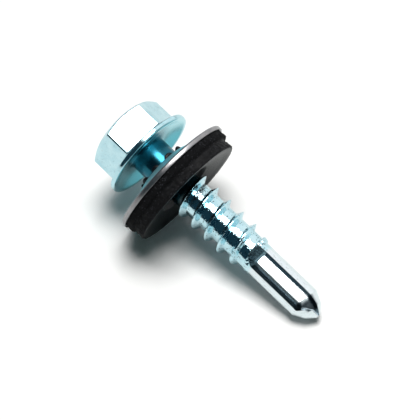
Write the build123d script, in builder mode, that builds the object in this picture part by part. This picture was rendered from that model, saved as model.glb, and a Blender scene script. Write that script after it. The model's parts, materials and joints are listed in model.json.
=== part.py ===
from build123d import *
from math import radians, sqrt, tan
import os

# Self drilling screw, ST4.8, hexagon washer head, with a bonded steel and rubber sealing washer.
#
# Each piece is drawn upright about the screw's own axis: the seat under the flange is z = 0,
# the head stands above it and the drill point hangs below. LYING then lays the pieces down
# together as the screw comes to rest, on the rubber's rim and the corner of the drill point.

# Head
ACROSS_FLATS = 7.8
HEX_TURN = 12.5            # turn of one corner from the side that lies uppermost
HEX_CORNER_RADIUS = 0.25
HEAD_HEIGHT = 4.2          # seat to the top of the head
HEAD_TOP_DIAMETER = 6.9    # flat left inside the top chamfer
HEAD_CHAMFER_ANGLE = 28.0
FLANGE_DIAMETER = 10.4
FLANGE_EDGE = 0.55         # thickness at the rim
FLANGE_ROOT = 0.8          # thickness where the hexagon rises
FLANGE_RIM_BREAK = 0.12    # break on both edges of the rim
SEAT_RECESS = 0.15         # depth the underside is dished at the shank
SEAT_LAND = 0.6            # width of the seat ring outside the dish

# Shank, thread and drill point
LENGTH = 24.0              # seat to the tip
SHANK_DIAMETER = 4.1
UNDER_HEAD_RADIUS = 0.25
THREAD_DIAMETER = 4.8
CORE_DIAMETER = 3.54       # thread root and drill body alike
PITCH = 1.8
THREAD_ANGLE = 60.0
CREST_WIDTH = 0.1
RIDGE_SINK = 0.1           # depth the ridge's foot is set in the core
CREST_AZIMUTH = 62.0       # turn at which a crest stands CREST_FROM_TIP above the tip
CREST_FROM_TIP = 12.85
THREAD_TOP = 4.95          # seat to the first trace of thread
THREAD_FADE = 0.75         # length over which the first turn rises
THREAD_FOOT = 7.6          # tip to the last trace of thread
FOOT_FADE = 3.4            # length over which the last turns sink
SHANK_TAPER = 0.6
CHISEL_WIDTH = 0.5         # blunt edge left across the tip
POINT_HALF_ANGLE = 50.0
CORNER_HALF_ANGLE = 27.0
CORNER_DIAMETER = 2.3      # where the blunt point meets the steeper corner bevel

# Two flutes, each drawn with X out of its mouth and Y across it towards the cutting lip
FLUTE_AZIMUTH = -28.0
FLUTE_LENGTH = 8.2         # tip to where the flute starts to run out
FLUTE_RUNOUT_ANGLE = 54.0  # lean of the run-out from the axis
FLUTE_FLOOR = 0.12         # height of the floor at the foot of the rake wall
FLOOR_SLOPE = 14.0         # rise of the floor from the rake wall to the heel
RAKE_FOOT = 0.97           # foot of the rake wall, across from the axis
RAKE_LEAN = 4.0
HEEL_FOOT = 0.59           # foot of the heel wall, across from the axis on the other side
HEEL_LEAN = 30.0
HEEL_FILLET = 0.8
HEEL_START = 1.8           # tip to the corner of the heel
GASH_LENGTH = 2.8          # tip to the end of the hollow that thins the web
GASH_INSET = 0.06          # distance that hollow ends clear of the flute's walls
NOTCH_LENGTH = 0.8         # tip to where the hollow starts to widen towards the heel
WEB_AT_TIP = 0.3
LIP_FOOT = 0.1             # foot of the rake wall at the tip, across from the axis
LIP_LEAN = 37.0            # lean of the rake wall at the tip

# Sealing washer, drawn about its own axis with the rubber's contact ring at z = 0
WASHER_DIAMETER = 14.0
STEEL_THICKNESS = 0.6
STEEL_EDGE = 0.1           # break on the disc's edges
DISH_ANGLE = 10.0
RUBBER_INSET = 0.2         # steel rim beyond the rubber, on the radius
RUBBER_THICKNESS = 2.1
RUBBER_LAND = 0.6          # width of the flat contact ring
RUBBER_WAIST = 0.2         # depth the rubber's edge draws in
RUBBER_FLAT = 0.16         # depth the soft edge is pressed flat where it bears on the floor
BORE_CLEARANCE = 0.25      # rubber bore to shank, on the radius
STEEL_BORE_RELIEF = 0.3    # steel hole beyond the rubber bore, on the radius
WASHER_DROP = 5.5          # seat to the contact ring along the screw axis
WASHER_LEAN = 4.6          # the loose washer leans on the shank

# Lying down
ROUGH_TILT = 15.0          # first guess at the rise of the axis
TILT_PRECISION = 1e-4

# Sizes worked out from those above
HEX_CORNER = ACROSS_FLATS / sqrt(3)
FLANGE_RADIUS = FLANGE_DIAMETER / 2
TIP_Z = -LENGTH
THREAD_TOP_Z = -THREAD_TOP
THREAD_FOOT_Z = TIP_Z + THREAD_FOOT
SHANK_RADIUS = SHANK_DIAMETER / 2
CORE_RADIUS = CORE_DIAMETER / 2
CREST_RADIUS = THREAD_DIAMETER / 2
CORNER_RADIUS = CORNER_DIAMETER / 2
POINT_RISE = (CORNER_RADIUS - CHISEL_WIDTH / 2) / tan(radians(POINT_HALF_ANGLE))
CORNER_RISE = POINT_RISE + (CORE_RADIUS - CORNER_RADIUS) / tan(radians(CORNER_HALF_ANGLE))
WASHER_RADIUS = WASHER_DIAMETER / 2
RUBBER_RADIUS = WASHER_RADIUS - RUBBER_INSET
RUBBER_BORE = SHANK_RADIUS + BORE_CLEARANCE
STEEL_BORE = RUBBER_BORE + STEEL_BORE_RELIEF
FLUTE_REACH = CORE_DIAMETER
HEEL_FLOOR = FLUTE_FLOOR + (RAKE_FOOT + HEEL_FOOT) * tan(radians(FLOOR_SLOPE))


def dish_rise(radius):
    """Height the washer's cone has gained at a radius, counted from its rim."""
    return (WASHER_RADIUS - radius) * tan(radians(DISH_ANGLE))


def hexagon():
    """Drive hexagon standing in the flange, with its corners and top broken."""
    chamfer_drop = (HEX_CORNER - HEAD_TOP_DIAMETER / 2) * tan(radians(HEAD_CHAMFER_ANGLE))
    with BuildPart() as head:
        with BuildSketch(Plane.XY.offset(FLANGE_EDGE)):
            RegularPolygon(HEX_CORNER, 6, rotation=HEX_TURN)
        extrude(amount=HEAD_HEIGHT - FLANGE_EDGE)
        fillet(head.edges().filter_by(Axis.Z), HEX_CORNER_RADIUS)
        with BuildSketch(Plane.XZ):
            with BuildLine():
                Polyline(
                    (0, 0),
                    (HEX_CORNER, 0),
                    (HEX_CORNER, HEAD_HEIGHT - chamfer_drop),
                    (HEAD_TOP_DIAMETER / 2, HEAD_HEIGHT),
                    (0, HEAD_HEIGHT),
                    close=True,
                )
            make_face()
        revolve(axis=Axis.Z, mode=Mode.INTERSECT)
    return head.part


def turned_blank():
    """Flange with its dished seat, plain shank, thread core and pointed drill body."""
    with BuildPart() as blank:
        with BuildSketch(Plane.XZ) as profile:
            with BuildLine():
                Polyline(
                    (0, FLANGE_ROOT),
                    (HEX_CORNER - HEX_CORNER_RADIUS, FLANGE_ROOT),
                    (FLANGE_RADIUS, FLANGE_EDGE),
                    (FLANGE_RADIUS, 0),
                    (FLANGE_RADIUS - SEAT_LAND, 0),
                    (SHANK_RADIUS, SEAT_RECESS),
                    (SHANK_RADIUS, THREAD_TOP_Z + SHANK_TAPER),
                    (CORE_RADIUS, THREAD_TOP_Z),
                    (CORE_RADIUS, TIP_Z + CORNER_RISE),
                    (CORNER_RADIUS, TIP_Z + POINT_RISE),
                    (CHISEL_WIDTH / 2, TIP_Z),
                    (0, TIP_Z),
                    close=True,
                )
            make_face()
            chamfer(profile.vertices().group_by(Axis.X)[-1], FLANGE_RIM_BREAK)
            under_head = profile.vertices().sort_by_distance((SHANK_RADIUS, SEAT_RECESS))[0]
            fillet(under_head, UNDER_HEAD_RADIUS)
        revolve(axis=Axis.Z)
    return blank.part


def thread_ridge():
    """Right-hand ridge swept along a helix, trimmed so that both ends fade into the core."""
    sunk = CORE_RADIUS - RIDGE_SINK
    buried = sunk - RIDGE_SINK
    clear = CREST_RADIUS + RIDGE_SINK
    half_crest = CREST_WIDTH / 2
    half_foot = half_crest + (CREST_RADIUS - sunk) * tan(radians(THREAD_ANGLE / 2))
    crest_z = TIP_Z + CREST_FROM_TIP - PITCH * CREST_AZIMUTH / 360
    turns_down = int((crest_z - THREAD_FOOT_Z) / PITCH) + 1
    start_z = crest_z - turns_down * PITCH
    with BuildPart() as ridge:
        with BuildLine():
            Helix(PITCH, THREAD_TOP_Z - start_z + PITCH, CORE_RADIUS, center=(0, 0, start_z))
        with BuildSketch(Plane.XZ):
            with Locations((0, start_z)):
                Polygon(
                    (sunk, -half_foot),
                    (CREST_RADIUS, -half_crest),
                    (CREST_RADIUS, half_crest),
                    (sunk, half_foot),
                    align=None,
                )
        sweep(is_frenet=True)
        with BuildSketch(Plane.XZ):
            with BuildLine():
                Polyline(
                    (0, THREAD_TOP_Z),
                    (buried, THREAD_TOP_Z),
                    (clear, THREAD_TOP_Z - THREAD_FADE),
                    (clear, THREAD_FOOT_Z + FOOT_FADE),
                    (buried, THREAD_FOOT_Z),
                    (0, THREAD_FOOT_Z),
                    close=True,
                )
            make_face()
        revolve(axis=Axis.Z, mode=Mode.INTERSECT)
    return ridge.part


def flute_corners(floor, rake_foot, rake_lean, heel_floor, heel_foot, heel_lean):
    """Section of a flute: rake wall and heel wall from their feet to beyond the drill."""
    rake_top = rake_foot + (FLUTE_REACH - floor) * tan(radians(rake_lean))
    heel_top = heel_foot + (FLUTE_REACH - heel_floor) * tan(radians(heel_lean))
    return [
        (floor, rake_foot),
        (FLUTE_REACH, rake_top),
        (FLUTE_REACH, -heel_top),
        (heel_floor, -heel_foot),
    ]


def flute():
    """One flute as a cutter: a straight part from the heel's corner, then the run-out."""
    corners = flute_corners(FLUTE_FLOOR, RAKE_FOOT, RAKE_LEAN, HEEL_FLOOR, HEEL_FOOT, HEEL_LEAN)
    outwards = (tan(radians(FLUTE_RUNOUT_ANGLE)), 0, 1)
    with BuildPart() as cutter:
        with BuildSketch(Plane.XY.offset(TIP_Z + FLUTE_LENGTH)) as section:
            Polygon(*corners, align=None)
            fillet(section.vertices().sort_by_distance(corners[-1])[0], HEEL_FILLET)
        extrude(amount=HEEL_START - FLUTE_LENGTH)
        extrude(section.sketch, amount=FLUTE_REACH, dir=outwards)
    return cutter.part


def gash_corners(rise, heel_floor, heel_foot, heel_lean):
    """Section of the hollow at a rise above the tip, as the rake wall turns towards the lip."""
    share = rise / GASH_LENGTH
    foot = LIP_FOOT + (RAKE_FOOT - LIP_FOOT) * share
    lean = LIP_LEAN + (RAKE_LEAN - LIP_LEAN) * share
    return flute_corners(WEB_AT_TIP / 2, foot, lean, heel_floor, heel_foot, heel_lean)


def gash():
    """Hollow from the flute's floor to the tip, which thins the web and forms the lip."""
    upper = flute_corners(
        FLUTE_FLOOR + GASH_INSET,
        RAKE_FOOT - GASH_INSET,
        RAKE_LEAN,
        HEEL_FLOOR + GASH_INSET,
        HEEL_FOOT - GASH_INSET,
        HEEL_LEAN,
    )
    with BuildPart() as cutter:
        with BuildSketch(Plane.XY.offset(TIP_Z + GASH_LENGTH)):
            Polygon(*upper, align=None)
        with BuildSketch(Plane.XY.offset(TIP_Z + HEEL_START)):
            Polygon(*gash_corners(HEEL_START, WEB_AT_TIP, HEEL_FOOT, HEEL_LEAN), align=None)
        with BuildSketch(Plane.XY.offset(TIP_Z + NOTCH_LENGTH)):
            Polygon(*gash_corners(NOTCH_LENGTH, WEB_AT_TIP / 2, 0, 0), align=None)
        with BuildSketch(Plane.XY.offset(TIP_Z)):
            Polygon(*gash_corners(0, WEB_AT_TIP / 2, 0, 0), align=None)
        loft(ruled=True)
    return cutter.part


def screw_body(threaded):
    """Head, shank, fluted drill point and, when threaded, the ridge, as the one piece they are."""
    with BuildPart() as screw:
        add(turned_blank())
        add(hexagon())
        if threaded:
            add(thread_ridge())
        with Locations(Rot(0, 0, FLUTE_AZIMUTH), Rot(0, 0, FLUTE_AZIMUTH + 180)):
            add(flute(), mode=Mode.SUBTRACT)
            add(gash(), mode=Mode.SUBTRACT)
    return screw.part


def steel_disc():
    """Pressed steel cone whose underside carries the rubber."""
    with BuildPart() as disc:
        with BuildSketch(Plane.XZ) as profile:
            with BuildLine():
                Polyline(
                    (STEEL_BORE, RUBBER_THICKNESS + dish_rise(STEEL_BORE)),
                    (WASHER_RADIUS, RUBBER_THICKNESS),
                    (WASHER_RADIUS, RUBBER_THICKNESS + STEEL_THICKNESS),
                    (STEEL_BORE, RUBBER_THICKNESS + STEEL_THICKNESS + dish_rise(STEEL_BORE)),
                    close=True,
                )
            make_face()
            chamfer(profile.vertices(), STEEL_EDGE)
        revolve(axis=Axis.Z)
    return disc.part


def rubber_disc():
    """Rubber cone bonded under the steel, with a waisted edge and a flat contact ring."""
    ring_inner = RUBBER_RADIUS - RUBBER_LAND
    edge_top = RUBBER_THICKNESS + dish_rise(RUBBER_RADIUS)
    with BuildPart() as disc:
        with BuildSketch(Plane.XZ):
            with BuildLine():
                edge = ThreePointArc(
                    (RUBBER_RADIUS, edge_top),
                    (RUBBER_RADIUS - RUBBER_WAIST, edge_top / 2),
                    (RUBBER_RADIUS, 0),
                )
                Polyline(
                    edge @ 1,
                    (ring_inner, 0),
                    (RUBBER_BORE, dish_rise(RUBBER_BORE) - dish_rise(ring_inner)),
                    (RUBBER_BORE, RUBBER_THICKNESS + dish_rise(RUBBER_BORE)),
                    edge @ 0,
                )
            make_face()
        revolve(axis=Axis.Z)
    return disc.part


def low_side(shape, tilt):
    """Height of a shape's lowest point with the screw laid over to a tilt."""
    return (Rot(0, tilt - 90, 0) * shape).bounding_box().min.Z


def point_above_flat(screw, rubber, tilt):
    """Height of the screw's lowest point over the rubber's flat at a tilt."""
    return low_side(screw, tilt) - low_side(rubber, tilt) - RUBBER_FLAT


def rest_tilt(screw, rubber):
    """Rise of the axis from point to head at which point and rubber touch the same floor."""
    before, tilt = ROUGH_TILT, ROUGH_TILT + 1
    gap_before = point_above_flat(screw, rubber, before)
    while abs(tilt - before) > TILT_PRECISION:
        gap = point_above_flat(screw, rubber, tilt)
        before, tilt, gap_before = tilt, tilt - gap * (tilt - before) / (gap - gap_before), gap
    return tilt


# The washer leans about the middle of its rubber bore
BORE_MIDDLE = RUBBER_THICKNESS / 2 + dish_rise(RUBBER_BORE)
ON_SHANK = Pos(0, 0, BORE_MIDDLE - WASHER_DROP) * Rot(0, WASHER_LEAN, 0) * Pos(0, 0, -BORE_MIDDLE)

upright_screw = screw_body(threaded=True)
upright_steel = ON_SHANK * steel_disc()
upright_rubber = ON_SHANK * rubber_disc()

# The thread stands inside the outline of the rest, so a plain screw finds how the pieces lie
outline = screw_body(threaded=False)
TILT = rest_tilt(outline, upright_rubber)
laid_over = Rot(0, TILT - 90, 0)
extent = (laid_over * Compound([outline, upright_steel, upright_rubber])).bounding_box()
LYING = Pos(-extent.center().X, -extent.center().Y, -low_side(outline, TILT)) * laid_over

with BuildPart() as screw:
    with Locations(LYING):
        add(upright_screw)

with BuildPart() as steel_washer:
    with Locations(LYING):
        add(upright_steel)

with BuildPart() as rubber_washer:
    with Locations(LYING):
        add(upright_rubber)
    split(bisect_by=Plane.XY)

screw.part.label = "screw"
steel_washer.part.label = "steel_washer"
rubber_washer.part.label = "rubber_washer"

os.makedirs("parts", exist_ok=True)
export_step(screw.part, "parts/screw.step")
export_step(steel_washer.part, "parts/steel_washer.step")
export_step(rubber_washer.part, "parts/rubber_washer.step")
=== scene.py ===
import json
from math import atan2, cos, hypot, pi, radians, sin, sqrt, tan
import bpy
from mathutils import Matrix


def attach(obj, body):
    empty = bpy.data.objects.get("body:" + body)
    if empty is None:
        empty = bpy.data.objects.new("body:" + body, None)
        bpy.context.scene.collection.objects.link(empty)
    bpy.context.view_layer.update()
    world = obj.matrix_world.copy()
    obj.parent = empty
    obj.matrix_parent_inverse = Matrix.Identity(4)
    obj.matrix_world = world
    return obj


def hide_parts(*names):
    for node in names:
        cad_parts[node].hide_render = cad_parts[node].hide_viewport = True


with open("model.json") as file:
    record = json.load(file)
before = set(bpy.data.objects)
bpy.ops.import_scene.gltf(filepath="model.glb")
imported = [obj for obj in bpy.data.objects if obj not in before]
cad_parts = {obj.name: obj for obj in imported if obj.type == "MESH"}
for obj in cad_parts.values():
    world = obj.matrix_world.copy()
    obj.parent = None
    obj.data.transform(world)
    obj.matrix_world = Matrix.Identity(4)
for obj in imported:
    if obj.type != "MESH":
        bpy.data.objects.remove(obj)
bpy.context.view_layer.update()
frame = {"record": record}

from types import SimpleNamespace

import bmesh
import bpy
from bpy.props import FloatProperty, FloatVectorProperty, IntProperty, PointerProperty
from mathutils import Matrix, Vector, noise

bl_info = {
    "name": "Self drilling screw",
    "version": (1, 0, 0),
    "blender": (4, 5, 0),
    "location": "View3D > Sidebar > Self drilling screw",
    "description": "Builds a self drilling screw with its bonded sealing washer",
    "category": "Add Mesh",
}

MOUNTS = {mount["name"]: mount for mount in frame["record"]["mounts"]}
MM = 0.001
TURN = 2 * pi
VIEW_SIDE = 420
SENSOR = 36.0
WHITE = (1.0, 1.0, 1.0)
PLATING_OUTPUTS = ("Patches", "Grain", "Pits", "Specks")


def length(name, about, millimetres):
    """A size in the sidebar, held in metres."""
    size = {"default": millimetres * MM, "precision": 5, "subtype": "DISTANCE", "unit": "LENGTH"}
    return FloatProperty(name=name, description=about, **size)


def turn(name, about, angle):
    """An angle in the sidebar, held in radians."""
    size = {"default": radians(angle), "subtype": "ANGLE", "unit": "ROTATION"}
    return FloatProperty(name=name, description=about, **size)


def colour(name, about, tint):
    """A colour in the sidebar."""
    shown = {"default": tint, "size": 3, "min": 0.0, "max": 1.0, "subtype": "COLOR"}
    return FloatVectorProperty(name=name, description=about, **shown)


def count(name, about, number):
    """A whole number in the sidebar."""
    return IntProperty(name=name, description=about, default=number, min=1)


# Sizes and colours


class ScrewSizes(bpy.types.PropertyGroup):
    across_flats: length("Across flats", "Width of the hexagon", 7.8)
    hex_turn: turn("Hexagon turn", "Azimuth of the first corner", 12.5)
    hex_corner_radius: length("Hexagon corner radius", "Rounding of its corners", 0.25)
    head_height: length("Head height", "Seat to the top", 4.2)
    head_top_diameter: length("Head top diameter", "Flat inside the chamfer", 6.9)
    head_chamfer: turn("Head chamfer", "Slope of the top chamfer", 28)
    head_edge_radius: length("Head edge radius", "Rounding of the forged edges", 0.08)
    flange_diameter: length("Flange diameter", "Outside of the flange", 10.4)
    flange_edge: length("Flange edge", "Thickness at the rim", 0.55)
    flange_root: length("Flange root", "Thickness at the hexagon", 0.8)
    flange_rim_radius: length("Flange rim radius", "Rounding of the rim", 0.16)
    seat_recess: length("Seat recess", "Depth of the dished underside", 0.78)
    seat_land: length("Seat land", "Ring outside the dish", 0.4)
    neck_radius: length("Neck radius", "Hollow between seat and shank", 0.45)
    length: length("Length", "Seat to the tip", 24.0)
    shank_diameter: length("Shank diameter", "Plain shank", 4.1)
    crest_diameter: length("Crest diameter", "Over the thread", 4.8)
    core_diameter: length("Core diameter", "Thread root and drill body", 3.54)
    pitch: length("Pitch", "Crest to crest", 1.8)
    flank_angle: turn("Flank angle", "Slope of each flank", 30)
    crest_width: length("Crest width", "Flat left on the crest", 0.08)
    crest_azimuth: turn("Crest azimuth", "Azimuth of the measured crest", 62)
    crest_from_tip: length("Crest from tip", "Tip to the measured crest", 12.85)
    thread_top: length("Thread top", "Seat to the thread", 4.95)
    thread_fade: length("Thread fade", "Rise of the first turn", 0.75)
    thread_foot: length("Thread foot", "Tip to the thread", 7.6)
    foot_fade: length("Foot fade", "Sinking of the last turns", 3.4)
    root_fillet: length("Root fillet", "Rounding between thread and core", 0.1)
    raggedness: length("Raggedness", "Torn places on the thread", 0.6)
    flute_azimuth: turn("Flute azimuth", "Azimuth of the first flute", -28)
    flute_length: length("Flute length", "Tip to the run-out", 8.2)
    flute_runout: turn("Flute run-out", "Lean of the run-out from the axis", 54)
    flute_floor: length("Flute floor", "Floor's height at the rake wall", 0.12)
    floor_slope: turn("Floor slope", "Floor's rise towards the heel", 10.5)
    rake_foot: length("Rake foot", "Axis to the rake wall", 0.97)
    rake_lean: turn("Rake lean", "Lean of the rake wall", 4)
    foot_fillet: length("Foot fillet", "Rounding at the rake wall", 0.07)
    heel_foot: length("Heel foot", "Axis to the heel wall", 0.59)
    heel_lean: turn("Heel lean", "Lean of the heel wall", 30)
    heel_fillet: length("Heel fillet", "Rounding of floor into heel wall", 1.3)
    heel_start: length("Heel start", "Tip to the corner of the heel", 1.8)
    gash_length: length("Gash length", "Tip to where the rake wall turns", 2.8)
    scoop_length: length("Scoop length", "Tip to the start of the scoop", 2.3)
    notch_length: length("Notch length", "Tip to where the hollow widens", 0.8)
    web_at_tip: length("Web at the tip", "Thickness between the flutes", 0.3)
    lip_foot: length("Lip foot", "Axis to the rake wall at the tip", 0.1)
    lip_lean: turn("Lip lean", "Lean of the rake wall at the tip", 37)
    chisel_width: length("Chisel width", "Blunt edge across the tip", 0.5)
    point_half_angle: turn("Point half angle", "Half of the point's angle", 50)
    corner_half_angle: turn("Corner half angle", "Slope of the bevel", 27)
    corner_diameter: length("Corner diameter", "Point's outside, at the bevel", 2.3)
    columns: count("Columns", "Facets round the screw", 192)
    rows_per_pitch: count("Rows per pitch", "Facets across one thread", 20)


class WasherSizes(bpy.types.PropertyGroup):
    diameter: length("Diameter", "Outside of the steel disc", 14.0)
    steel_thickness: length("Steel thickness", "Thickness of the disc", 0.52)
    dish: turn("Dish", "Slope of the disc's cone", 10)
    hub_rise: length("Hub rise", "Extra height at the hole", 0.33)
    hub_reach: length("Hub reach", "Radius where the hub starts", 4.8)
    mouth: length("Mouth", "Opening of the bore below", 0.75)
    rubber_inset: length("Rubber inset", "Steel rim beyond the rubber", 0.2)
    rubber_thickness: length("Rubber thickness", "Rubber under the steel's rim", 2.1)
    rubber_land: length("Rubber land", "Width of the flat contact ring", 0.6)
    bore_radius: length("Bore radius", "Rubber bore round the shank", 2.3)
    steel_bore_relief: length("Steel bore relief", "Steel hole beyond the rubber bore", 0.3)
    bonded_layer: length("Bonded layer", "Skin bonded to the steel", 0.85)
    notch_depth: length("Notch depth", "Groove torn between skin and disc", 0.32)
    disc_shift: length("Disc shift", "Lower disc's shift, sideways", 0.1)
    edge_roughness: length("Edge roughness", "Height of the crumbs", 0.09)
    disc_undersize: length("Disc undersize", "Lower disc's step in from the skin", 0.28)
    side_lean: turn("Side lean", "Play, sideways", 1.8)
    slack: length("Slack", "Play, towards the thread", 0.08)
    lobes: count("Lobes", "Lobes round the shank", 9)
    lobe_height: length("Lobe height", "Height above the steel hole", 0.3)
    columns: count("Columns", "Facets round the washer", 288)


class Finishes(bpy.types.PropertyGroup):
    zinc: colour("Zinc", "Blue-white plating on the screw", (0.62, 0.85, 0.91))
    zinc_dull: colour("Dull zinc", "Duller patches", (0.47, 0.73, 0.81))
    # The speck colour also serves as painted shade on the flutes' gash, run-out and heel faces.
    speck: colour("Speck", "Dark specks", (0.03, 0.06, 0.08))
    # Painted shade: the next two tints darken the plating under the flange and close to the
    # shank.
    zinc_sheltered: colour("Sheltered zinc", "Plating under the flange", (0.45, 0.80, 0.86))
    zinc_deep: colour("Deep zinc", "Plating close to the shank", (0.02, 0.13, 0.18))
    bare: colour("Bare steel", "Thinly plated drill point", (0.86, 0.91, 0.93))
    washer_zinc: colour("Washer zinc", "Plating on the pressed disc", (0.36, 0.35, 0.36))
    washer_dull: colour("Dull washer zinc", "Duller patches", (0.26, 0.26, 0.27))
    rubber: colour("Rubber", "Body of the sealing rubber", (0.0022, 0.0024, 0.003))
    rubber_dust: colour("Rubber dust", "Chalky bloom and crumbs", (0.04, 0.042, 0.05))
    floor: colour("Floor", "Pale floor", (0.86, 0.88, 0.88))


class StageSizes(bpy.types.PropertyGroup):
    camera_azimuth: turn("Camera azimuth", "Turn round the object", 44.669)
    camera_elevation: turn("Camera elevation", "Rise above the floor", 50.569)
    camera_roll: turn("Camera roll", "Turn of the view", -1.98)
    camera_distance: length("Camera distance", "Camera to the aim point", 200.0)
    aim_right: length("Aim right", "Aim point across the view", -0.561)
    aim_up: length("Aim up", "Aim point up the view", 0.909)
    aim_height: length("Aim height", "Height of the aim point", 5.0)
    pixels_per_mm: FloatProperty(name="Pixels per mm", description="View's scale", default=9.841)
    floor_side: length("Floor side", "Width of the floor", 3000.0)


# Nodes


class Term:
    """A socket of a node tree, whose sums and products each add a math node."""

    def __init__(self, tree, socket):
        self.tree = tree
        self.socket = socket

    def to(self, operation, *others):
        """The result of a math node that starts from this term."""
        return calc(self.tree, operation, self, *others)

    def __add__(self, other):
        return self.to("ADD", other)

    def __sub__(self, other):
        return self.to("SUBTRACT", other)

    def __mul__(self, other):
        return self.to("MULTIPLY", other)

    def __truediv__(self, other):
        return self.to("DIVIDE", other)

    def __rsub__(self, other):
        return calc(self.tree, "SUBTRACT", other, self)

    def __rtruediv__(self, other):
        return calc(self.tree, "DIVIDE", other, self)


def feed(node, values):
    """Sets a node's inputs to values, or links them to terms."""
    for key, value in values.items():
        if isinstance(value, Term):
            value.tree.links.new(value.socket, node.inputs[key])
        else:
            node.inputs[key].default_value = value


def wire(tree, kind, values=None, output=0, **settings):
    """The wanted output or outputs of a new node."""
    made = tree.nodes.new(kind)
    for name, value in settings.items():
        setattr(made, name, value)
    feed(made, values or {})
    if isinstance(output, tuple):
        return [Term(tree, made.outputs[name]) for name in output]
    return Term(tree, made.outputs[output])


def calc(tree, operation, *terms):
    """The result of one math node."""
    return wire(tree, "ShaderNodeMath", dict(enumerate(terms)), operation=operation)


def ramp(value, start, end, low=0.0, high=1.0, **settings):
    """From low to high as the value goes from start to end."""
    ends = {"Value": value, "From Min": start, "From Max": end, "To Min": low, "To Max": high}
    return wire(value.tree, "ShaderNodeMapRange", ends, **settings)


def blend(factor, first, second):
    """The first colour turned into the second by a factor."""
    values = {"Factor": factor}
    for key, tint in (("A", first), ("B", second)):
        values[key] = tint if isinstance(tint, Term) else (*tint, 1.0)
    return wire(factor.tree, "ShaderNodeMix", values, "Result", data_type="RGBA")


def cloud(vector, scale, detail, roughness=0.5):
    """Noise at a vector."""
    values = {"Vector": vector, "Scale": scale, "Detail": detail, "Roughness": roughness}
    return wire(vector.tree, "ShaderNodeTexNoise", values)


def bumped(height, strength, distance):
    """The normal of a surface with a fine relief."""
    values = {"Height": height, "Strength": strength, "Distance": distance}
    return wire(height.tree, "ShaderNodeBump", values)


def sockets(tree, side, kind, *names):
    """Adds named sockets of one kind to a tree's inputs or outputs."""
    for name in names:
        tree.interface.new_socket(name, in_out=side, socket_type="NodeSocket" + kind)


def point_of(tree, x, y, z):
    """A vector made of three terms."""
    return wire(tree, "ShaderNodeCombineXYZ", {"X": x, "Y": y, "Z": z})


# Meshes and places


def added(name, data):
    """A new object in the scene."""
    made = bpy.data.objects.new(name, data)
    bpy.context.scene.collection.objects.link(made)
    return made


def discard(piece):
    """Removes a helper object and its mesh."""
    mesh = piece.data
    bpy.data.objects.remove(piece)
    bpy.data.meshes.remove(mesh)


def finished(name, mesh, material, body, node):
    """A finished piece: material, body and the CAD node it stands for."""
    piece = added(name, mesh)
    mesh.materials.clear()
    mesh.materials.append(material)
    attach(piece, body)
    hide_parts(node)


def evaluated_mesh(piece):
    """A helper's mesh with its modifiers applied; the helper is discarded."""
    graph = bpy.context.evaluated_depsgraph_get()
    mesh = bpy.data.meshes.new_from_object(
        piece.evaluated_get(graph), preserve_all_data_layers=True, depsgraph=graph
    )
    discard(piece)
    return mesh


def drawn_mesh(name, builder):
    """The mesh of a bmesh that is complete."""
    mesh = bpy.data.meshes.new(name)
    builder.to_mesh(mesh)
    builder.free()
    return mesh


def bridge(builder, rings):
    """Faces between rings of vertices; the first may be a pole."""
    for upper, lower in zip(rings, rings[1:]):
        for k in range(len(lower)):
            after = (k + 1) % len(lower)
            if len(upper) == 1:
                builder.faces.new((upper[0], lower[k], lower[after]))
            else:
                builder.faces.new((upper[k], lower[k], lower[after], upper[after]))


def shade(mesh, sharp_degrees):
    """Smooth shading, crisp over edges sharper than the angle."""
    mesh.polygons.foreach_set("use_smooth", [True] * len(mesh.polygons))
    mesh.set_sharp_from_angle(angle=radians(sharp_degrees))


def clamp(value, low=0.0):
    """The value kept between low and one."""
    return min(1.0, max(low, value))


def polar(radius, azimuth, height):
    """Point at a distance from the axis, an azimuth and a height."""
    return radius * cos(azimuth), radius * sin(azimuth), height


def arc(x, y, radius, start, end, steps):
    """Points (radius, height) along an arc; degrees from outwards to up."""
    turns = [radians(start + (end - start) * step / steps) for step in range(steps + 1)]
    return [(x + radius * cos(angle), y + radius * sin(angle)) for angle in turns]


def run(start, end, steps):
    """Points (radius, height) along a straight line, without its first."""
    (x, y), (to_x, to_y) = start, end
    return [(x + (to_x - x) * k / steps, y + (to_y - y) * k / steps) for k in range(1, steps + 1)]


def carry_on(points, *stops):
    """Adds straight lines to each stop (radius, height, steps)."""
    for *end, steps in stops:
        points += run(points[-1], end, steps)


def standing(position, up, shift_up, shift_out):
    """Matrix from upright to an axis in the XZ plane."""
    up = Vector(up).normalized()
    across = Vector((0, 1, 0))
    out = across.cross(up)
    origin = Vector(position) + up * shift_up + out * shift_out
    return Matrix.Translation(origin) @ Matrix((out, across, up)).transposed().to_4x4()


def screw_place():
    """Upright frame of the screw: seat at zero, head up."""
    mount = MOUNTS["head_top"]
    return standing(mount["pos_m"], mount["axis"], -bpy.context.scene.screw_sizes.head_height, 0)


def washer_place():
    """Upright frame of the washer: contact ring at zero, hub up."""
    sizes = bpy.context.scene.washer_sizes
    mount = MOUNTS["sealing_face"]
    ring_middle = sizes.diameter / 2 - sizes.rubber_inset - sizes.rubber_land / 2
    seated = standing(mount["pos_m"], [-value for value in mount["axis"]], 0, -ring_middle)
    played = Matrix.Translation((0, 0, -sizes.slack)) @ Matrix.Rotation(sizes.side_lean, 4, "X")
    return seated @ played


# Materials


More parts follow.
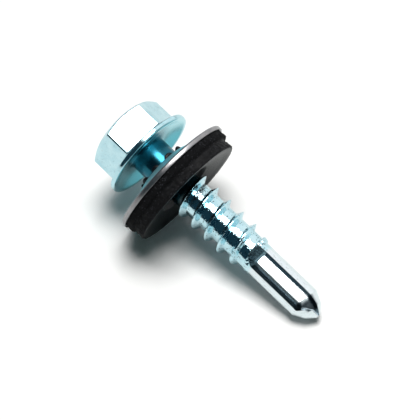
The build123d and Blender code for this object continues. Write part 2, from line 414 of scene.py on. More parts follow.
def plating_effect():
    """The shared effect: cloudy patches, fine grain, pits and scattered specks."""
    tree = bpy.data.node_groups.new("Plating", "ShaderNodeTree")
    sockets(tree, "INPUT", "Vector", "Vector")
    sockets(tree, "INPUT", "Float", "Patch Size", "Grain Size")
    sockets(tree, "OUTPUT", "Float", *PLATING_OUTPUTS)
    inputs = tree.nodes.new("NodeGroupInput").outputs[:3]
    vector, patch_size, grain_size = [Term(tree, socket) for socket in inputs]
    grain_scale = 1.0 / grain_size
    patches = cloud(vector, 1.0 / patch_size, 3.0, 0.55)
    pits = wire(tree, "ShaderNodeTexVoronoi", {"Vector": vector, "Scale": grain_scale})
    dots = {"Vector": vector, "Scale": grain_scale * 0.7}
    reach, lot = wire(tree, "ShaderNodeTexVoronoi", dots, ("Distance", "Color"))
    picked = wire(tree, "ShaderNodeSeparateColor", {"Color": lot})
    crowd = ramp(patches, 0.42, 0.68, 0.03, 0.45)
    results = (
        ramp(patches, 0.35, 0.65),
        cloud(vector, grain_scale, 2.0, 0.6),
        ramp(pits, 0.05, 0.3, 1.0, 0.0),
        ramp(reach, 0.25, 0.5, 0.9, 0.0) * picked.to("LESS_THAN", crowd),
    )
    feed(tree.nodes.new("NodeGroupOutput"), dict(zip(PLATING_OUTPUTS, results)))
    return tree


def plating(vector, patch_size, grain_size):
    """Patches, grain, pits and specks of the shared effect."""
    group = bpy.data.node_groups.get("Plating") or plating_effect()
    values = {"Vector": vector, "Patch Size": patch_size, "Grain Size": grain_size}
    return wire(vector.tree, "ShaderNodeGroup", values, PLATING_OUTPUTS, node_tree=group)


def new_material(name):
    """A material, its Principled shader, and a vector in the piece's own space."""
    material = bpy.data.materials.new(name)
    material.use_nodes = True
    tree = material.node_tree
    vector = wire(tree, "ShaderNodeTexCoord", output="Object")
    return material, tree.nodes["Principled BSDF"], vector


def own_mask(tree, name):
    """A mask kept on the piece's own faces or points."""
    return wire(tree, "ShaderNodeAttribute", output="Fac", attribute_name=name)


def upright_vector(vector, place):
    """The vector in the upright frame that a piece was drawn in."""
    inverse = place.inverted()
    back = {"Location": inverse.to_translation(), "Rotation": inverse.to_euler()}
    return wire(vector.tree, "ShaderNodeMapping", {"Vector": vector, **back})


def zinc_material(name, bright, dull, place, shelter, reach, thread, roughness, rough_head):
    """Zinc plating: cloudy tint, grain and specks, thin on the drill; painted shade in the
    flutes, under the flange and near the shank.
    """
    finishes = bpy.context.scene.finishes
    material, shader, vector = new_material(name)
    tree = vector.tree
    upright = upright_vector(vector, place)
    height = wire(tree, "ShaderNodeSeparateXYZ", {"Vector": upright}, "Z")
    flat = wire(tree, "ShaderNodeVectorMath", {0: upright, 1: (1, 1, 0)}, operation="MULTIPLY")
    radius = wire(tree, "ShaderNodeVectorMath", {0: flat}, "Value", operation="LENGTH")
    patches, grain, pits, specks = plating(vector, 1.3 * MM, 0.11 * MM)
    _, coarse_grain, coarse_pits, _ = plating(vector, 0.5 * MM, 0.26 * MM)

    low, high = thread  # heights
    on_drill = ramp(height, low - 0.5 * MM, low, 1.0, 0.0)
    on_thread = ramp(height, high - 0.5 * MM, high, 1.0, 0.0) - on_drill
    # Painted shade: a band between the rims, below the head, darker still close to the shank,
    # stands in for the dark reflections under the flange.
    low, high = shelter
    below_head = ramp(height, high, high + 0.05 * MM, 1.0, 0.0)
    between_rims = ramp(height, low - 0.3 * MM, low) * below_head
    inner, outer = reach  # radii
    painted_shade_under_flange = between_rims * ramp(radius, outer - 0.6 * MM, outer, 1.0, 0.0)
    painted_shade_near_shank = between_rims * ramp(radius, inner, inner + 1.4 * MM, 1.0, 0.0)

    tint = blend(patches, bright, dull)
    for factor, other in (
        (on_drill * 0.85, finishes.bare),
        # Painted shade: the flutes' marked gash, run-out and heel faces darken to the dark speck
        # tint.
        (own_mask(tree, "hollow") * 0.85, finishes.speck),
        (specks * (on_thread * 0.7 + 0.3), finishes.speck),
        (painted_shade_under_flange, finishes.zinc_sheltered),
        (painted_shade_near_shank, finishes.zinc_deep),
    ):
        tint = blend(factor, tint, other)
    on_head = ramp(height, high, high + 0.1 * MM, 0.0, rough_head)
    dulled = on_head.to("MAXIMUM", (painted_shade_under_flange * 0.14).to("MAXIMUM", on_drill * 0.12))
    relief = (grain - pits * 0.3) + (coarse_grain - coarse_pits) * (on_thread * 4.0)
    feed(shader, {
        "Base Color": tint,
        "Metallic": 1.0,
        "Roughness": ramp(grain, 0.3, 0.7, *roughness) + dulled,
        "Normal": bumped(relief, 0.25, 0.01 * MM),
    })
    return material


def rubber_material(name):
    """Black rubber: chalky bloom, crumbs on the cut edge and a soft sheen elsewhere."""
    finishes = bpy.context.scene.finishes
    material, shader, vector = new_material(name)
    patches, grain, pits, specks = plating(vector, 1.1 * MM, 0.10 * MM)
    cut_edge = own_mask(vector.tree, "cut_edge")
    bloom = (1.0 - cut_edge) * (patches * 0.12)
    chalk = ((pits * cut_edge) * 0.5 + bloom) + specks * cut_edge
    feed(shader, {
        "Base Color": blend(chalk, finishes.rubber, finishes.rubber_dust),
        "Roughness": ramp(cut_edge, 0.0, 1.0, 0.36, 0.95),
        "Normal": bumped(grain, 0.5, 0.03 * MM),
        "Specular IOR Level": 0.16,
    })
    return material


def floor_material(name, tint):
    """Pale card with a faint fibre, white to the camera."""
    material, shader, vector = new_material(name)
    card = blend(cloud(vector, 900.0, 2.0), tint, [value * 0.98 for value in tint])
    seen = blend(wire(vector.tree, "ShaderNodeLightPath", output="Is Camera Ray"), card, WHITE)
    feed(shader, {"Base Color": seen, "Roughness": 0.9, "Specular IOR Level": 0.0})
    return material


# Screw


def corner_half(sizes):
    """Half of a rounded corner's angle, seen from the axis."""
    apothem = sizes.across_flats / 2
    return pi / 6 - atan2((apothem - sizes.hex_corner_radius) * tan(pi / 6), apothem)


def hexagon_turns(sizes):
    """Azimuths round the hexagon, crowded into its rounded corners."""
    per_side = sizes.columns // 6
    in_corner = per_side // 4
    half = corner_half(sizes)
    first = round(sizes.hex_turn / TURN * sizes.columns) - in_corner // 2
    turns = [0.0] * sizes.columns
    for side in range(6):
        corner = sizes.hex_turn + side * pi / 3
        for k in range(per_side):
            if k < in_corner:
                azimuth = corner - half + 2 * half * k / in_corner
            else:
                share = (k - in_corner) / (per_side - in_corner)
                azimuth = corner + half + (pi / 3 - 2 * half) * share
            turns[(first + side * per_side + k) % sizes.columns] = azimuth
    return turns


def hexagon_radius(sizes, azimuth):
    """Distance from the axis to the hexagon's wall at an azimuth."""
    apothem = sizes.across_flats / 2
    rounding = sizes.hex_corner_radius
    from_corner = (azimuth - sizes.hex_turn + pi / 6) % (pi / 3) - pi / 6
    if abs(from_corner) > corner_half(sizes):
        return apothem / cos(pi / 6 - abs(from_corner))
    centre = (apothem - rounding) / cos(pi / 6)
    return centre * cos(from_corner) + sqrt(rounding**2 - (centre * sin(from_corner)) ** 2)


def turned_rows(profile, turns):
    """Rings whose azimuths relax from the hexagon's to even."""
    even = [TURN * k / len(turns) for k in range(len(turns))]
    drifts = [(to - azimuth + pi) % TURN - pi for to, azimuth in zip(even, turns)]
    rows = []
    for k, (radius, height) in enumerate(profile):
        share = min(1.0, 0.25 + 0.75 * k / 3)
        ring = [azimuth + drift * share for azimuth, drift in zip(turns, drifts)]
        rows.append([polar(radius, azimuth, height) for azimuth in ring])
    return rows


def head_mesh(sizes, join_height):
    """Hexagon, flange, dished seat and neck."""
    turns = hexagon_turns(sizes)
    walls = [(hexagon_radius(sizes, azimuth), azimuth) for azimuth in turns]
    high = sizes.head_height
    top_radius = sizes.head_top_diameter / 2
    shoulders = [high - (radius - top_radius) * tan(sizes.head_chamfer) for radius, _ in walls]
    foot_round = 0.1 * MM
    foot = sizes.flange_root + foot_round
    rows = [[(0, 0, high)]]
    for share in (0.3, 0.6, 0.9, 1.0):
        rows.append([polar(top_radius * share, azimuth, high) for azimuth in turns])
    for share in (0, 0.35, 0.7, 1.0):
        heights = [top + (foot - top) * share for top in shoulders]
        rows.append([polar(*wall, height) for wall, height in zip(walls, heights)])
    rim = sizes.flange_diameter / 2
    rim_round = sizes.flange_rim_radius
    widest = rim - 2 * rim_round
    for step in range(1, 6):
        angle = pi / 2 * step / 5
        out = foot_round * (1 - cos(angle))
        height = sizes.flange_root + foot_round * (1 - sin(angle))
        rows.append([polar(min(radius + out, widest), turn, height) for radius, turn in walls])
    shank = sizes.shank_diameter / 2
    neck = sizes.neck_radius
    seat_inner = rim - sizes.seat_land
    profile = arc(rim - rim_round, sizes.flange_edge - rim_round, rim_round, 80, 0, 5)
    profile += arc(rim - rim_round, rim_round, rim_round, 0, -90, 5)
    carry_on(profile, (seat_inner, 0, 2))
    for share in [step / 8 for step in range(1, 9)]:
        radius = seat_inner + (shank + neck - seat_inner) * share
        profile.append((radius, sizes.seat_recess * sin(pi / 2 * share)))
    profile += arc(shank + neck, sizes.seat_recess - neck, neck, 90, 180, 12)[1:]
    carry_on(profile, (shank, join_height, 2))
    rows += turned_rows(profile, turns)
    builder = bmesh.new()
    bridge(builder, [[builder.verts.new(point) for point in row] for row in rows])
    return drawn_mesh("head", builder)


def stem_tree(values):
    """Geometry Nodes that draw shank, rolled thread and drill body as one skin."""
    tree = bpy.data.node_groups.new("Threaded stem", "GeometryNodeTree")
    kinds = {float: "Float", int: "Int", bpy.types.Material: "Material"}
    for name, value in values.items():
        sockets(tree, "INPUT", kinds[type(value)], name)
    sockets(tree, "OUTPUT", "Geometry", "Geometry")
    given = tree.nodes.new("NodeGroupInput").outputs
    size = SimpleNamespace(
        **{name.lower().replace(" ", "_"): Term(tree, given[name]) for name in values}
    )
    pitch = size.pitch
    tip = size.length * -1.0
    top = size.thread_top * -1.0
    foot = tip + size.thread_foot
    crest_zero = (tip + size.crest_from_tip) - pitch * (size.crest_azimuth / TURN)
    point_slope = size.point_half_angle.to("TANGENT")
    corner_slope = size.corner_half_angle.to("TANGENT")
    point_rise = (size.corner_radius - size.chisel_radius) / point_slope
    sunk = 0.2 * MM

    def radius_at(angle, height):
        """Distance from the axis at an angle and a height."""
        from_crest = height - (crest_zero + pitch * (angle / TURN))
        wave = from_crest.to("WRAP", pitch * 0.5, pitch * -0.5)
        off_crest = (wave.to("ABSOLUTE") - size.crest_width * 0.5).to("MAXIMUM", 0.0)
        ridge = size.crest_radius - off_crest / size.flank_angle.to("TANGENT")
        spot = point_of(tree, angle.to("COSINE"), angle.to("SINE"), height / pitch)
        ragged = (cloud(spot, 4.5, 3.0, 0.7) - 0.5) * size.raggedness
        rise_top = (top - height) / size.thread_fade
        rise_foot = (height - foot) / size.foot_fade
        rise = wire(tree, "ShaderNodeClamp", {"Value": rise_top.to("MINIMUM", rise_foot)})
        depth = (size.crest_radius - size.core_radius) + sunk
        even_limit = (size.core_radius - sunk) + depth * rise
        limit = even_limit + ragged * ramp(rise_foot, 0.0, 1.2, 1.0, 0.12)
        shank = ramp(height, top, top + 0.6 * MM, size.core_radius, size.shank_radius)
        body = shank.to("SMOOTH_MAX", ridge.to("MINIMUM", limit), size.root_fillet)
        above_tip = height - tip
        point = size.chisel_radius + above_tip * point_slope
        bevel = size.corner_radius + (above_tip - point_rise) * corner_slope
        return body.to("MINIMUM", point.to("MINIMUM", bevel)).to("MAXIMUM", 0.0)

    def grid(columns, rows):
        """A unit grid and its two running shares."""
        sides = {"Size X": 1.0, "Size Y": 1.0, "Vertices X": columns, "Vertices Y": rows}
        place = wire(tree, "GeometryNodeInputPosition")
        x, y = wire(tree, "ShaderNodeSeparateXYZ", {"Vector": place}, ("X", "Y"))
        return wire(tree, "GeometryNodeMeshGrid", sides), x + 0.5, y + 0.5

    def placed(mesh, angle, height, share=1.0):
        """The grid wrapped round the axis, at a share of the radius there."""
        radius = radius_at(angle, height) * share
        spot = point_of(tree, radius * angle.to("COSINE"), radius * angle.to("SINE"), height)
        return wire(tree, "GeometryNodeSetPosition", {"Geometry": mesh, "Position": spot})

    around = size.columns + 1.0
    thread_bottom = foot - pitch * 0.3
    thread_begin = top + pitch * 0.1

    mesh, u, v = grid(around, 16)
    height = size.join_height + (thread_begin - size.join_height) * v
    plain = placed(mesh, u * TURN, height)

    turns_down = ((crest_zero - (thread_bottom - pitch * 0.5)) / pitch).to("CEIL")
    start = crest_zero - turns_down * pitch
    turns = ((thread_begin - start) / pitch + 0.5).to("CEIL")
    mesh, u, v = grid(size.columns * turns + 1.0, size.rows_per_pitch + 1.0)
    wound = u * turns
    across = (v - 0.5) * 2.0
    crowded = across.to("SIGN") * across.to("ABSOLUTE").to("POWER", 1.5)
    climb = (start + pitch * wound) + (pitch * 0.5) * crowded
    kept = {"Value": climb, "Min": thread_bottom, "Max": thread_begin}
    inside_out = placed(mesh, wound * TURN, wire(tree, "ShaderNodeClamp", kept))
    threaded = wire(tree, "GeometryNodeFlipFaces", {"Mesh": inside_out})

    # The drill's last row of faces closes the tip.
    rows = 59
    mesh, u, v = grid(around, rows + 1)
    climb = ((rows - 1) / rows - v).to("MAXIMUM", 0.0) * (rows / (rows - 1))
    height = tip + (thread_bottom - tip) * climb
    drill = placed(mesh, u * TURN, height, v.to("LESS_THAN", (rows - 0.5) / rows))

    joined = tree.nodes.new("GeometryNodeJoinGeometry")
    for part in (plain, threaded, drill):
        feed(joined, {"Geometry": part})
    loose = {"Geometry": Term(tree, joined.outputs[0]), "Distance": 0.002 * MM}
    merged = wire(tree, "GeometryNodeMergeByDistance", loose)
    real = {"Geometry": wire(tree, "GeometryNodeRealizeInstances", {"Geometry": merged})}
    coated = wire(tree, "GeometryNodeSetMaterial", {**real, "Material": size.material})
    feed(tree.nodes.new("NodeGroupOutput"), {"Geometry": coated})
    return tree


def stem_mesh(sizes, join_height, material):
    """The stem's skin, drawn by its node tree."""
    values = {
        "Join Height": join_height,
        "Shank Radius": sizes.shank_diameter / 2,
        "Core Radius": sizes.core_diameter / 2,
        "Crest Radius": sizes.crest_diameter / 2,
        "Chisel Radius": sizes.chisel_width / 2,
        "Corner Radius": sizes.corner_diameter / 2,
        "Material": material,
    }
    for name in (
        "Length", "Pitch", "Flank Angle", "Crest Width", "Crest Azimuth", "Crest From Tip",
        "Thread Top", "Thread Fade", "Thread Foot", "Foot Fade", "Root Fillet", "Raggedness",
        "Point Half Angle", "Corner Half Angle", "Columns", "Rows Per Pitch",
    ):
        values[name] = getattr(sizes, name.lower().replace(" ", "_"))
    piece = added("stem", bpy.data.meshes.new("stem"))
    modifier = piece.modifiers.new("Threaded stem", "NODES")
    modifier.node_group = stem_tree(values)
    for socket in modifier.node_group.interface.items_tree:
        if socket.in_out == "INPUT":
            modifier[socket.identifier] = values[socket.name]
    return evaluated_mesh(piece)


def between(value, *stops):
    """Value on a line through (place, value) stops, level beyond its ends."""
    for (left, low), (right, high) in zip(stops, stops[1:]):
        if value < right:
            return low + (high - low) * max(0.0, value - left) / (right - left)
    return stops[-1][1]


def rounded(before, corner, after, radius, steps):
    """Points along a rounded corner, tighter where its sides are short."""
    inward = (before - corner).normalized()
    onward = (after - corner).normalized()
    half = inward.angle(onward) / 2
    shortest = min((before - corner).length, (after - corner).length)
    reach = min(radius / tan(half), 0.6 * shortest)
    centre = corner + (inward + onward).normalized() * reach / cos(half)
    x, y = corner + inward * reach - centre
    sweep = (pi - 2 * half) * (1 if inward.cross(onward) < 0 else -1)
    points = []
    for angle in [sweep * step / steps for step in range(steps + 1)]:
        turned = Vector((x * cos(angle) - y * sin(angle), x * sin(angle) + y * cos(angle)))
        points.append(centre + turned)
    return points


def body_radius(sizes, rise):
    """Radius of the drill's blank at a rise above the tip."""
    on_point = sizes.chisel_width / 2 + rise * tan(sizes.point_half_angle)
    corner = sizes.corner_diameter / 2
    corner_rise = (corner - sizes.chisel_width / 2) / tan(sizes.point_half_angle)
    on_bevel = corner + (rise - corner_rise) * tan(sizes.corner_half_angle)
    return min(on_point, on_bevel, sizes.core_diameter / 2) if rise > corner_rise else on_point


def flute_section(sizes, rise):
    """Outline (outward, across) of the flute at a rise above the tip."""
    reach = sizes.core_diameter
    web = sizes.web_at_tip / 2
    level = sizes.flute_floor + (sizes.rake_foot + sizes.heel_foot) * tan(sizes.floor_slope)
    notch, heel_start, scoop = sizes.notch_length, sizes.heel_start, sizes.scoop_length
    gash = sizes.gash_length
    foot = between(rise, (0, sizes.lip_foot), (gash, sizes.rake_foot))
    lean = between(rise, (0, sizes.lip_lean), (gash, sizes.rake_lean))
    low = between(rise, (heel_start, web), (gash, sizes.flute_floor))
    heel = between(rise, (notch, 0), (heel_start, sizes.heel_foot))
    heel_lean = between(rise, (notch, 0), (heel_start, sizes.heel_lean))
    scoop_foot = (heel_start - 0.2 * MM, 1.35 * web)
    heel_low = between(rise, (notch, web), scoop_foot, (scoop, level))
    radius = between(rise, (heel_start, 0.1 * MM), (scoop, sizes.heel_fillet))
    rake_top = Vector((reach, foot + (reach - low) * tan(lean)))
    rake_foot = Vector((low, foot))
    heel_foot = Vector((heel_low, -heel))
    heel_top = Vector((reach, -heel - (reach - heel_low) * tan(heel_lean)))
    inner = rounded(rake_top, rake_foot, heel_foot, sizes.foot_fillet, 4)
    outer = rounded(rake_foot, heel_foot, heel_top, radius, 8)
    points = [rake_top.lerp(inner[0], share) for share in (0, 0.4, 0.55, 0.7, 0.85)] + inner
    points += [inner[-1].lerp(outer[0], share / 6) for share in range(1, 6)] + outer
    points += [outer[-1].lerp(heel_top, share) for share in (0.15, 0.3, 0.45, 0.6, 1)]
    lift = max(0.0, rise - sizes.flute_length) * tan(sizes.flute_runout)
    return [(point.x + lift, point.y) for point in points]


def flute_cutter(sizes):
    """Both flutes as one cutter."""
    gash, flute = sizes.gash_length, sizes.flute_length
    runout = 2.6 * MM / tan(sizes.flute_runout)
    rises = [-0.3 * MM] + [gash * k / 40 for k in range(41)]
    rises += [gash + (flute - gash) * k / 8 for k in range(1, 9)]
    rises += [flute + runout * k / 8 for k in range(1, 9)]
    builder = bmesh.new()
    for azimuth in (sizes.flute_azimuth, sizes.flute_azimuth + pi):
        rings = []
        for rise in rises:
            ring = []
            for out, across in flute_section(sizes, rise):
                x = out * cos(azimuth) - across * sin(azimuth)
                y = out * sin(azimuth) + across * cos(azimuth)
                ring.append(builder.verts.new((x, y, rise - sizes.length)))
            rings.append(ring)
        for lower, upper in zip(rings, rings[1:]):
            for k in range(len(lower)):
                after = (k + 1) % len(lower)
                builder.faces.new((lower[k], lower[after], upper[after], upper[k]))
        builder.faces.new(rings[0])
        builder.faces.new(list(reversed(rings[-1])))
    bmesh.ops.recalc_face_normals(builder, faces=builder.faces)
    return drawn_mesh("flutes", builder)


def merged_mesh(name, meshes):
    """Several meshes as one, merged where they meet, faces outwards."""
    distance = 0.003 * MM
    builder = bmesh.new()
    for mesh in meshes:
        builder.from_mesh(mesh)
    bmesh.ops.remove_doubles(builder, verts=builder.verts, dist=distance)
    bmesh.ops.dissolve_degenerate(builder, edges=builder.edges, dist=distance / 4)
    bmesh.ops.recalc_face_normals(builder, faces=builder.faces)
    return drawn_mesh(name, builder)


def mark_painted_shade(mesh, sizes):
    """Marks the flute faces that get painted shade: gash, run-out and heel."""
    scoop, flute = sizes.scoop_length, sizes.flute_length
    ends = ((0.8 * scoop, 1), (scoop, 0), (flute, 0), (flute + 0.2 * MM, 1))
    heel_side = ((-0.5 * MM, 1), (-0.15 * MM, 0))
    out_x, out_y = cos(sizes.flute_azimuth), sin(sizes.flute_azimuth)
    hollow = mesh.attributes.new("hollow", "FLOAT", "FACE")
    for face, mark in zip(mesh.polygons, hollow.data):
        x, y, z = face.center
        rise = z + sizes.length
        if rise < 1.2 * flute and hypot(x, y) < body_radius(sizes, rise) - 0.012 * MM:
            side = 1 if x * out_x + y * out_y > 0 else -1
            across = side * (y * out_x - x * out_y)
            mark.value = max(between(rise, *ends), between(across, *heel_side))


class SCREW_OT_build_screw(bpy.types.Operator):
    """Build the screw: forged head and flange, shank, rolled thread and fluted drill point"""

    bl_idname = "self_drilling.build_screw"
    bl_label = "Screw"

    def execute(self, context):
        sizes = context.scene.screw_sizes
        finishes = context.scene.finishes
        join_height = -0.5 * MM
        place = screw_place()
        material = zinc_material(
            "blue_white_zinc", finishes.zinc, finishes.zinc_dull, place,
            # shelter and reach place the painted shade under the flange and near the shank.
            shelter=(-5.6 * MM, 0.80 * MM), reach=(2.1 * MM, 5.3 * MM),
            thread=(-15.6 * MM, -4.9 * MM), roughness=(0.05, 0.12), rough_head=0.1,
        )
        head = added("head", head_mesh(sizes, join_height))
        bevel = head.modifiers.new("Forged edges", "BEVEL")
        bevel.width = sizes.head_edge_radius
        bevel.segments = 3
        bevel.limit_method = "ANGLE"
        bevel.angle_limit = radians(20)
        parts = [evaluated_mesh(head), stem_mesh(sizes, join_height, material)]
        blank = added("blank", merged_mesh("blank", parts))
        flutes = added("flutes", flute_cutter(sizes))
        cut = blank.modifiers.new("Flutes", "BOOLEAN")
        cut.object = flutes
        cut.operation = "DIFFERENCE"
        cut.solver = "EXACT"
        mesh = evaluated_mesh(blank)
        discard(flutes)
        if len(mesh.polygons) < sizes.columns:
            raise RuntimeError("the flutes could not be cut")
        mesh.name = "screw_zinc"
        mark_painted_shade(mesh, sizes)
        mesh.transform(place)
        shade(mesh, 24)
        finished("screw_zinc", mesh, material, "screw", "screw")
        return {"FINISHED"}


# Sealing washer


def dish_rise(sizes, radius):
    """Height the disc gains from its rim to a radius."""
    hub_width = 2.2 * MM
    share = clamp((sizes.hub_reach - radius) / hub_width)
    cone = (sizes.diameter / 2 - radius) * tan(sizes.dish)
    return cone + sizes.hub_rise * share * share * (3 - 2 * share)


def closed_ring(name, profile, columns, adjust):
    """A ring from a closed profile, its points adjusted by a function."""
    builder = bmesh.new()
    rings = []
    for radius, height in profile:
        points = [polar(radius, TURN * k / columns, height) for k in range(columns)]
        rings.append([builder.verts.new(adjust(Vector(point))) for point in points])
    bridge(builder, rings + rings[:1])
    bmesh.ops.recalc_face_normals(builder, faces=builder.faces)
    return drawn_mesh(name, builder)


class SCREW_OT_build_steel_washer(bpy.types.Operator):
    """Build the pressed steel disc, with one rolled and one sheared edge"""

    bl_idname = "self_drilling.build_steel_washer"
    bl_label = "Steel washer"

    def execute(self, context):
        sizes = context.scene.washer_sizes
        finishes = context.scene.finishes
        place = washer_place()
        material = zinc_material(
            "washer_zinc", finishes.washer_zinc, finishes.washer_dull, place,
            # shelter and reach place the painted shade on the disc's top, darker at the hub.
            shelter=(2.72 * MM, 9.0 * MM), reach=(2.0 * MM, 6.9 * MM),
            thread=(-90 * MM, -80 * MM), roughness=(0.28, 0.4), rough_head=0.0,
        )
        rim = sizes.diameter / 2
        hole = sizes.bore_radius + sizes.steel_bore_relief
        low = sizes.rubber_thickness
        high = low + sizes.steel_thickness
        rolled = 0.2 * MM
        sheared = 0.06 * MM

        def rise(radius):
            return dish_rise(sizes, radius)

        profile = arc(rim - rolled, high - rolled + rise(rim - rolled) * 0.5, rolled, 90, 0, 6)
        profile += arc(rim - sheared, low + sheared, sheared, 0, -90, 3)
        under = run((rim - sheared, 0), (hole + sheared, 0), 24)
        profile += [(radius, low + rise(radius)) for radius, _ in under]
        profile += arc(hole + sheared, low + rise(hole) + sheared, sheared, 270, 180, 3)[1:]
        profile += arc(hole + rolled, high - rolled + rise(hole + rolled), rolled, 180, 90, 6)
        over = run((hole + rolled, 0), (rim - rolled, 0), 24)[:-1]
        profile += [(radius, high + rise(radius)) for radius, _ in over]

        def adjust(point):
            """A faint waviness of the pressing."""
            wobble = noise.noise(Vector((point.x, point.y, 0)) / (3.0 * MM)) * 0.02 * MM
            return Vector((point.x, point.y, point.z + wobble))

        mesh = closed_ring("steel_disc", profile, sizes.columns, adjust)
        mesh.transform(place)
        shade(mesh, 35)
        finished("steel_disc", mesh, material, "washer", "steel_washer")
        return {"FINISHED"}


class SCREW_OT_build_rubber_washer(bpy.types.Operator):
    """Build the sealing rubber: bonded skin, torn notch, rough cut edge and smooth dished face"""

    bl_idname = "self_drilling.build_rubber_washer"
    bl_label = "Rubber washer"

    def execute(self, context):
        sizes = context.scene.washer_sizes
        material = rubber_material("black_rubber")
        rim = sizes.diameter / 2 - sizes.rubber_inset
        thick = sizes.rubber_thickness
        top = thick + dish_rise(sizes, rim)
        skin_low = top - sizes.bonded_layer
        notch = rim - sizes.notch_depth
        ring_inner = rim - sizes.rubber_land
        bore = sizes.bore_radius
        hub_top = thick + dish_rise(sizes, bore)
        face = (ring_inner - bore) * tan(sizes.dish)
        hole = bore + sizes.steel_bore_relief
        steel_low = thick + dish_rise(sizes, hole)
        steel_high = steel_low + sizes.steel_thickness
        lip = bore + 0.04 * MM
        lip_round = 0.25 * MM
        mouth = bore + sizes.mouth
        mouth_round = 0.75 * MM
        profile = [(lip, steel_low)]
        carry_on(profile, (lip, steel_high - 0.1 * MM, 4))
        profile += arc(lip + lip_round, steel_high - 0.05 * MM, lip_round, 180, 0, 8)
        carry_on(
            profile,
            (hole - 0.04 * MM, steel_high - 0.14 * MM, 2),
            (hole - 0.04 * MM, steel_low, 4),
            (rim - 0.05 * MM, top, 16),
            (rim, skin_low + 0.05 * MM, 7),
            (notch, skin_low - 0.12 * MM, 4),
            (rim - 0.08 * MM, skin_low - 0.3 * MM, 4),
            (rim - 0.02 * MM, 0.08 * MM, 14),
            (rim - 0.12 * MM, 0, 2),
            (ring_inner, 0, 5),
            (mouth, face - sizes.mouth * tan(sizes.dish), 20),
        )
        profile += arc(mouth, face + 0.95 * MM, mouth_round, 270, 180, 8)[1:]
        carry_on(profile, (bore, hub_top - 0.3 * MM, 8))

        def adjust(point):
            """Crumbs and waves, the filled notch, the shift and the lobes."""
            reach = hypot(point.x, point.y)
            azimuth = atan2(point.y, point.x)
            outward = Vector((point.x, point.y, 0)) / reach
            outside = reach > ring_inner - 1.0 * MM
            low = clamp((skin_low - point.z) / (0.3 * MM)) if outside else 1.0
            at_edge = clamp((reach - notch + 0.15 * MM) / (0.2 * MM))
            grain = noise.fractal(point / (0.35 * MM), 0.8, 2.2, 4)
            crumbs = grain * sizes.edge_roughness * at_edge
            wavy = noise.noise(point / (2.5 * MM)) * 0.06 * MM * at_edge
            torn = clamp(abs(sin(azimuth + radians(27))) * 1.8 - 0.8, 0.12)
            in_notch = at_edge and 0.2 * MM < point.z < top - 0.3 * MM
            filled = max(0.0, rim - 0.05 * MM - reach) * (1 - torn) if in_notch else 0.0
            moved = point + outward * (crumbs + wavy + filled)
            moved.y -= sizes.disc_shift * low * clamp((reach - bore) / (1.5 * MM))
            if outside:
                share = clamp((reach - ring_inner + 1.0 * MM) / (1.0 * MM))
                moved -= outward * sizes.disc_undersize * low * share
            if reach < hole + 0.3 * MM and point.z > steel_high - 0.12 * MM:
                drift = noise.noise(Vector((cos(azimuth), sin(azimuth), 0)))
                lobe = sqrt(max(0.0, cos(sizes.lobes * azimuth + drift)))
                rise = clamp((point.z - steel_high + 0.2 * MM) / (0.3 * MM))
                moved.z += (lobe - 0.6) * sizes.lobe_height * rise
                if reach > bore + 0.1 * MM:
                    moved += outward * lobe * 0.12 * MM * rise
            return moved

        mesh = closed_ring("rubber_disc", profile, sizes.columns, adjust)
        cut_edge = mesh.attributes.new("cut_edge", "FLOAT", "POINT")
        for vertex, mark in zip(mesh.vertices, cut_edge.data):
            reach = hypot(vertex.co.x, vertex.co.y + sizes.disc_shift * 0.5)
            mark.value = clamp((reach - ring_inner - 0.1 * MM) / (0.3 * MM))
        mesh.transform(washer_place())
        for vertex in mesh.vertices:
            vertex.co.z = max(vertex.co.z, 0.0)
        shade(mesh, 60)
        finished("rubber_disc", mesh, material, "washer", "rubber_washer")
        return {"FINISHED"}


# Stage


def backs(azimuth, elevation, roll=0.0):
    """Directions back to the viewer, and right and up across the view."""
    level = cos(elevation)
    back = Vector((sin(azimuth) * level, -cos(azimuth) * level, sin(elevation)))
    right = Vector((cos(azimuth), sin(azimuth), 0))
    up = back.cross(right)
    return back, right * cos(roll) + up * sin(roll), up * cos(roll) - right * sin(roll)


def key_lamp(azimuth, elevation, distance):
    """A soft rectangular lamp aimed at the object."""
    data = bpy.data.lights.new("key_lamp", "AREA")
    data.shape = "RECTANGLE"
    data.size, data.size_y = 0.28, 0.26
    data.energy = 2.75
    data.color = (1.0, 0.985, 0.97)
    lamp = added("key_lamp", data)
    back = backs(azimuth, elevation)[0]
    lamp.location = back * distance
    lamp.rotation_euler = back.to_track_quat("Z", "Y").to_euler()
    lamp.visible_camera = False


def studio_world(world):
    """White to the camera, else a dim room, paler behind."""
    world.use_nodes = True
    tree = world.node_tree
    tree.nodes.clear()
    direction = wire(tree, "ShaderNodeTexCoord", output="Generated")
    x, y, z = wire(tree, "ShaderNodeSeparateXYZ", {"Vector": direction}, ("X", "Y", "Z"))
    soft = {"interpolation_type": "SMOOTHSTEP"}
    behind = ramp(y.to("ARCTAN2", z), radians(-20), radians(-12), **soft)
    middle = ramp(x.to("ABSOLUTE"), 0.45, 0.7, 1.0, 0.0, **soft)
    room = blend(behind * middle, (0.012, 0.035, 0.05), WHITE)
    rays = ("Is Diffuse Ray", "Is Camera Ray")
    diffuse, camera = wire(tree, "ShaderNodeLightPath", output=rays)

    def glow(tint):
        return wire(tree, "ShaderNodeBackground", {"Color": tint, "Strength": 1.0})

    fill = glow((0.03, 0.048, 0.046, 1.0))
    lit = wire(tree, "ShaderNodeMixShader", {"Fac": diffuse, 1: glow(room), 2: fill})
    white = glow((*WHITE, 1.0))
    chosen = wire(tree, "ShaderNodeMixShader", {"Fac": camera, 1: lit, 2: white})
    feed(tree.nodes.new("ShaderNodeOutputWorld"), {"Surface": chosen})


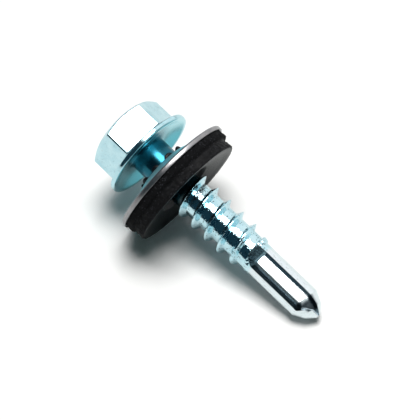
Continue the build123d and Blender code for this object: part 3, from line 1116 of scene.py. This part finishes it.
class SCREW_OT_build_stage(bpy.types.Operator):
    """Build the stage: pale floor, soft lamp, world and camera"""

    bl_idname = "self_drilling.build_stage"
    bl_label = "Stage"

    def execute(self, context):
        scene = context.scene
        stage = scene.stage_sizes
        side = stage.floor_side / 2
        builder = bmesh.new()
        corners = ((-1, -1), (1, -1), (1, 1), (-1, 1))
        builder.faces.new([builder.verts.new((x * side, y * side, 0)) for x, y in corners])
        mesh = drawn_mesh("floor", builder)
        mesh.materials.append(floor_material("pale_card", scene.finishes.floor))
        floor = added("floor", mesh)
        scene.world = bpy.data.worlds.new("studio")
        studio_world(scene.world)
        key_lamp(radians(170), radians(86), 0.5)
        data = bpy.data.cameras.new("camera")
        data.sensor_width = SENSOR
        data.lens = SENSOR * stage.pixels_per_mm * stage.camera_distance / MM / VIEW_SIDE
        data.clip_start = 0.01
        data.clip_end = 20.0
        camera = added("camera", data)
        back, right, up = backs(stage.camera_azimuth, stage.camera_elevation, stage.camera_roll)
        aim = right * stage.aim_right + up * stage.aim_up + Vector((0, 0, stage.aim_height))
        turned = Matrix((right, up, back)).transposed().to_4x4()
        camera.matrix_world = Matrix.Translation(aim + back * stage.camera_distance) @ turned
        scene.camera = camera
        scene.view_settings.view_transform = "Standard"
        return {"FINISHED"}


class SCREW_PT_panel(bpy.types.Panel):
    """Sizes, colours and build steps of the self drilling screw"""

    bl_idname = "SCREW_PT_panel"
    bl_label = "Self drilling screw"
    bl_space_type = "VIEW_3D"
    bl_region_type = "UI"
    bl_category = "Self drilling screw"

    def draw(self, context):
        for name in SETTINGS:
            group = getattr(context.scene, name)
            box = self.layout.box()
            for prop in group.__annotations__:
                box.prop(group, prop)
        for step in STEPS:
            self.layout.operator(step)


SETTINGS = {
    "screw_sizes": ScrewSizes, "washer_sizes": WasherSizes,
    "finishes": Finishes, "stage_sizes": StageSizes,
}
OPERATORS = (
    SCREW_OT_build_screw,
    SCREW_OT_build_steel_washer,
    SCREW_OT_build_rubber_washer,
    SCREW_OT_build_stage,
)
STEPS = [operator.bl_idname for operator in OPERATORS]
CLASSES = (*SETTINGS.values(), *OPERATORS, SCREW_PT_panel)


def register():
    for made in CLASSES:
        bpy.utils.register_class(made)
    for name, group in SETTINGS.items():
        setattr(bpy.types.Scene, name, PointerProperty(type=group))


def unregister():
    for name in SETTINGS:
        delattr(bpy.types.Scene, name)
    for made in reversed(CLASSES):
        bpy.utils.unregister_class(made)


def main():
    register()
    for step in STEPS:
        family, name = step.split(".")
        getattr(getattr(bpy.ops, family), name)()


if __name__ == "__main__":
    main()
